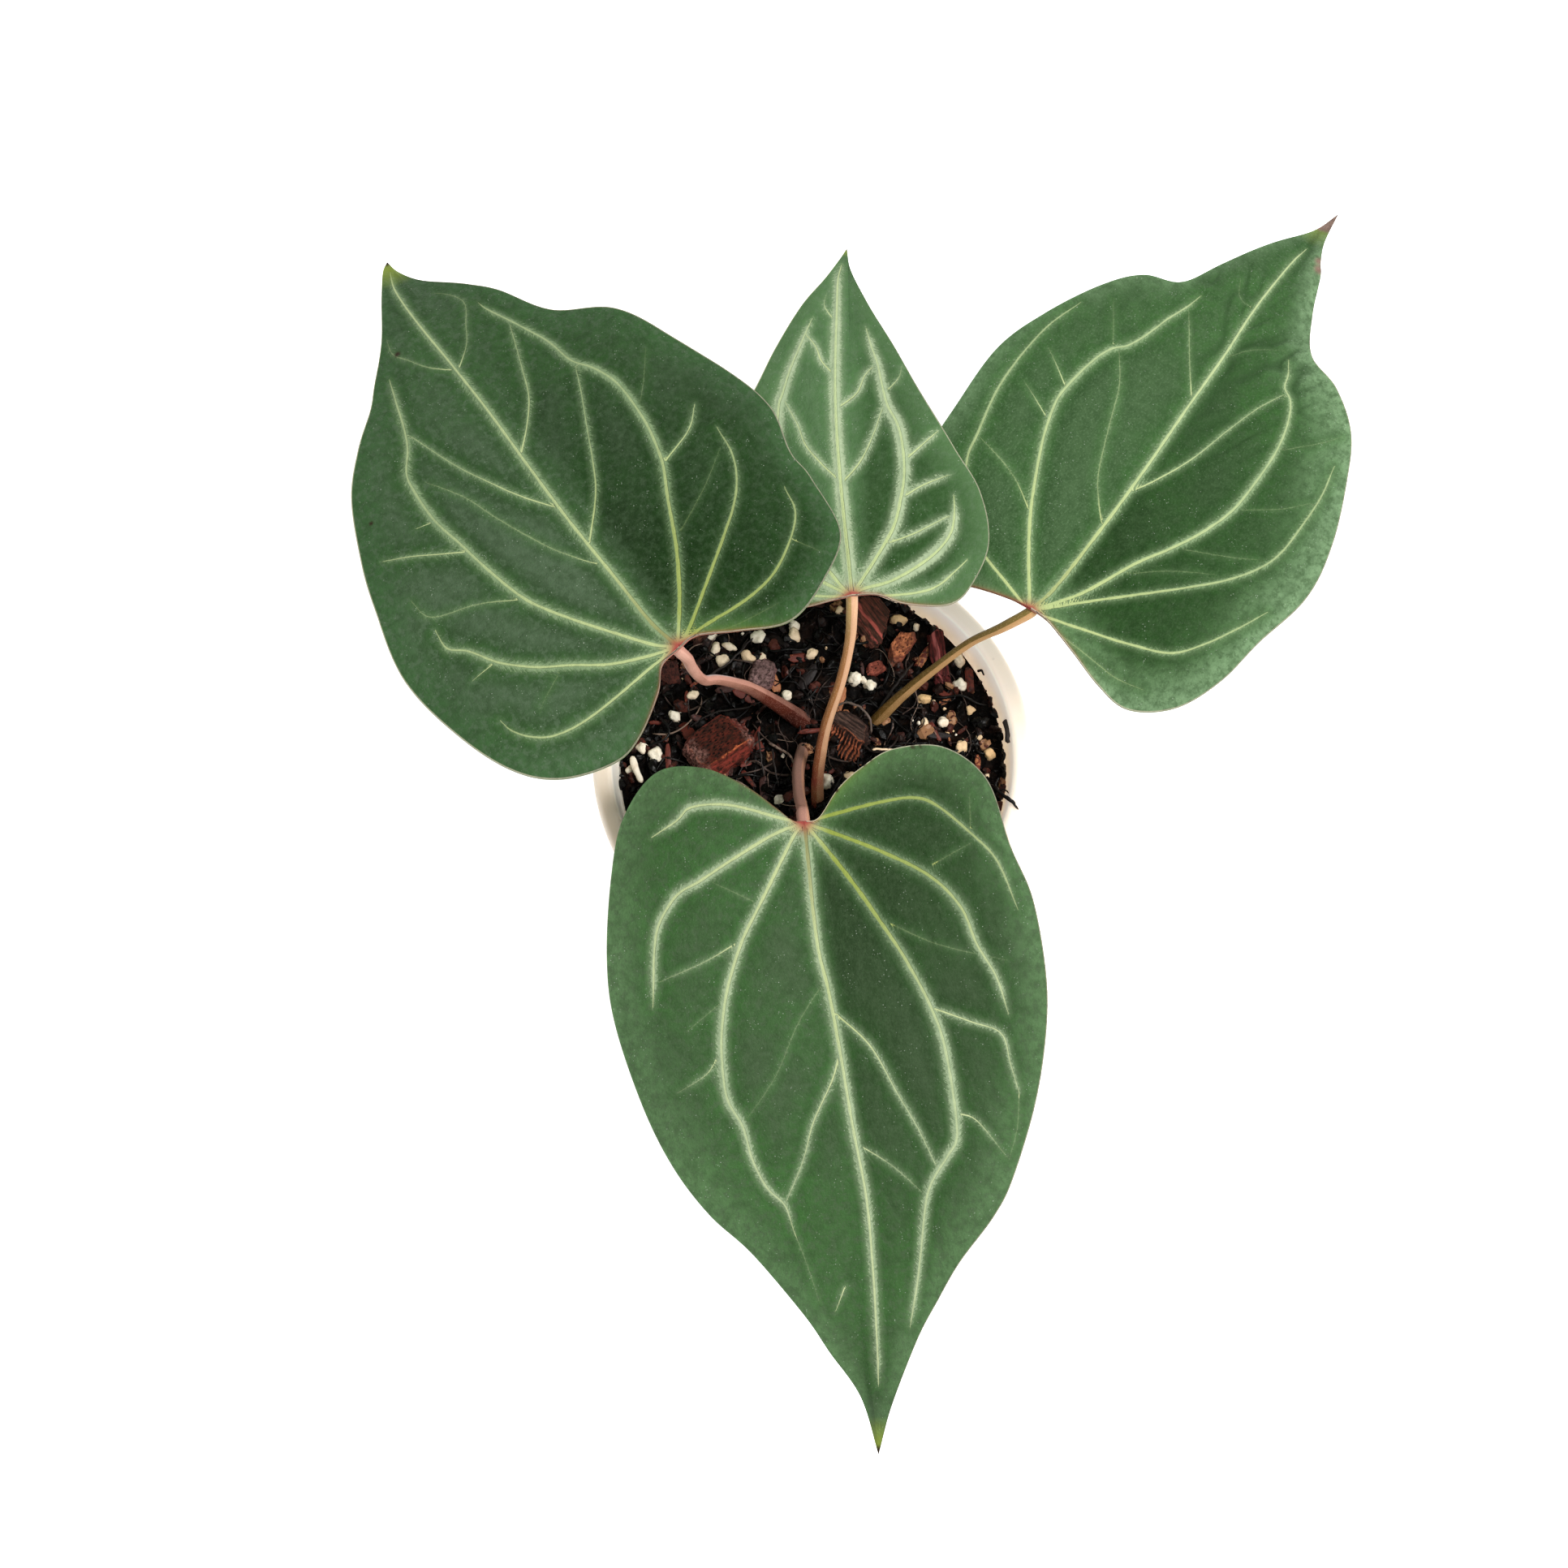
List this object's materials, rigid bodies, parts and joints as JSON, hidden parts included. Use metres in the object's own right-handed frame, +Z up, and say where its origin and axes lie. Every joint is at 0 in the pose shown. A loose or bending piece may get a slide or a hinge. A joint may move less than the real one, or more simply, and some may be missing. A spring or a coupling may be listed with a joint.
{
  "type": "potted anthurium",
  "caption": "Potted anthurium with broad velvety heart-shaped leaves on slim stalks, in a round cream plastic nursery pot filled with coarse soil.",
  "frame": {"origin": "centre of the pot's flat underside, on the surface it stands on", "axes": "+Z up through the pot; -Y towards the tip of the front leaf; +X towards the right leaf's side"},
  "size_m": [0.2754, 0.3516, 0.1651],
  "materials": {
    "cream_plastic": "satin",
    "soil_mix": "matte",
    "perlite": "matte",
    "bark": "matte",
    "stalk": "satin",
    "leaf_dark": "matte",
    "leaf_green": "matte",
    "leaf_young": "matte"
  },
  "bodies": {
    "root": {"pot": "cream_plastic", "soil": "soil_mix", "bark_chip_block": "bark", "bark_chip_striped": "bark", "bark_chip_orange": "bark", "bark_chip_small": "bark", "bark_chip_strip": "bark", "bark_chip_fibrous": "bark", "bark_chip_lump": "bark", "bark_chip_left": "bark", "bark_chip_inner": "bark", "petiole_left": "stalk", "petiole_back": "stalk", "petiole_right": "stalk", "petiole_front": "stalk", "leaf_left": "leaf_dark", "leaf_back": "leaf_young", "leaf_right": "leaf_green", "leaf_front": "leaf_green"}
  },
  "joints": []
}
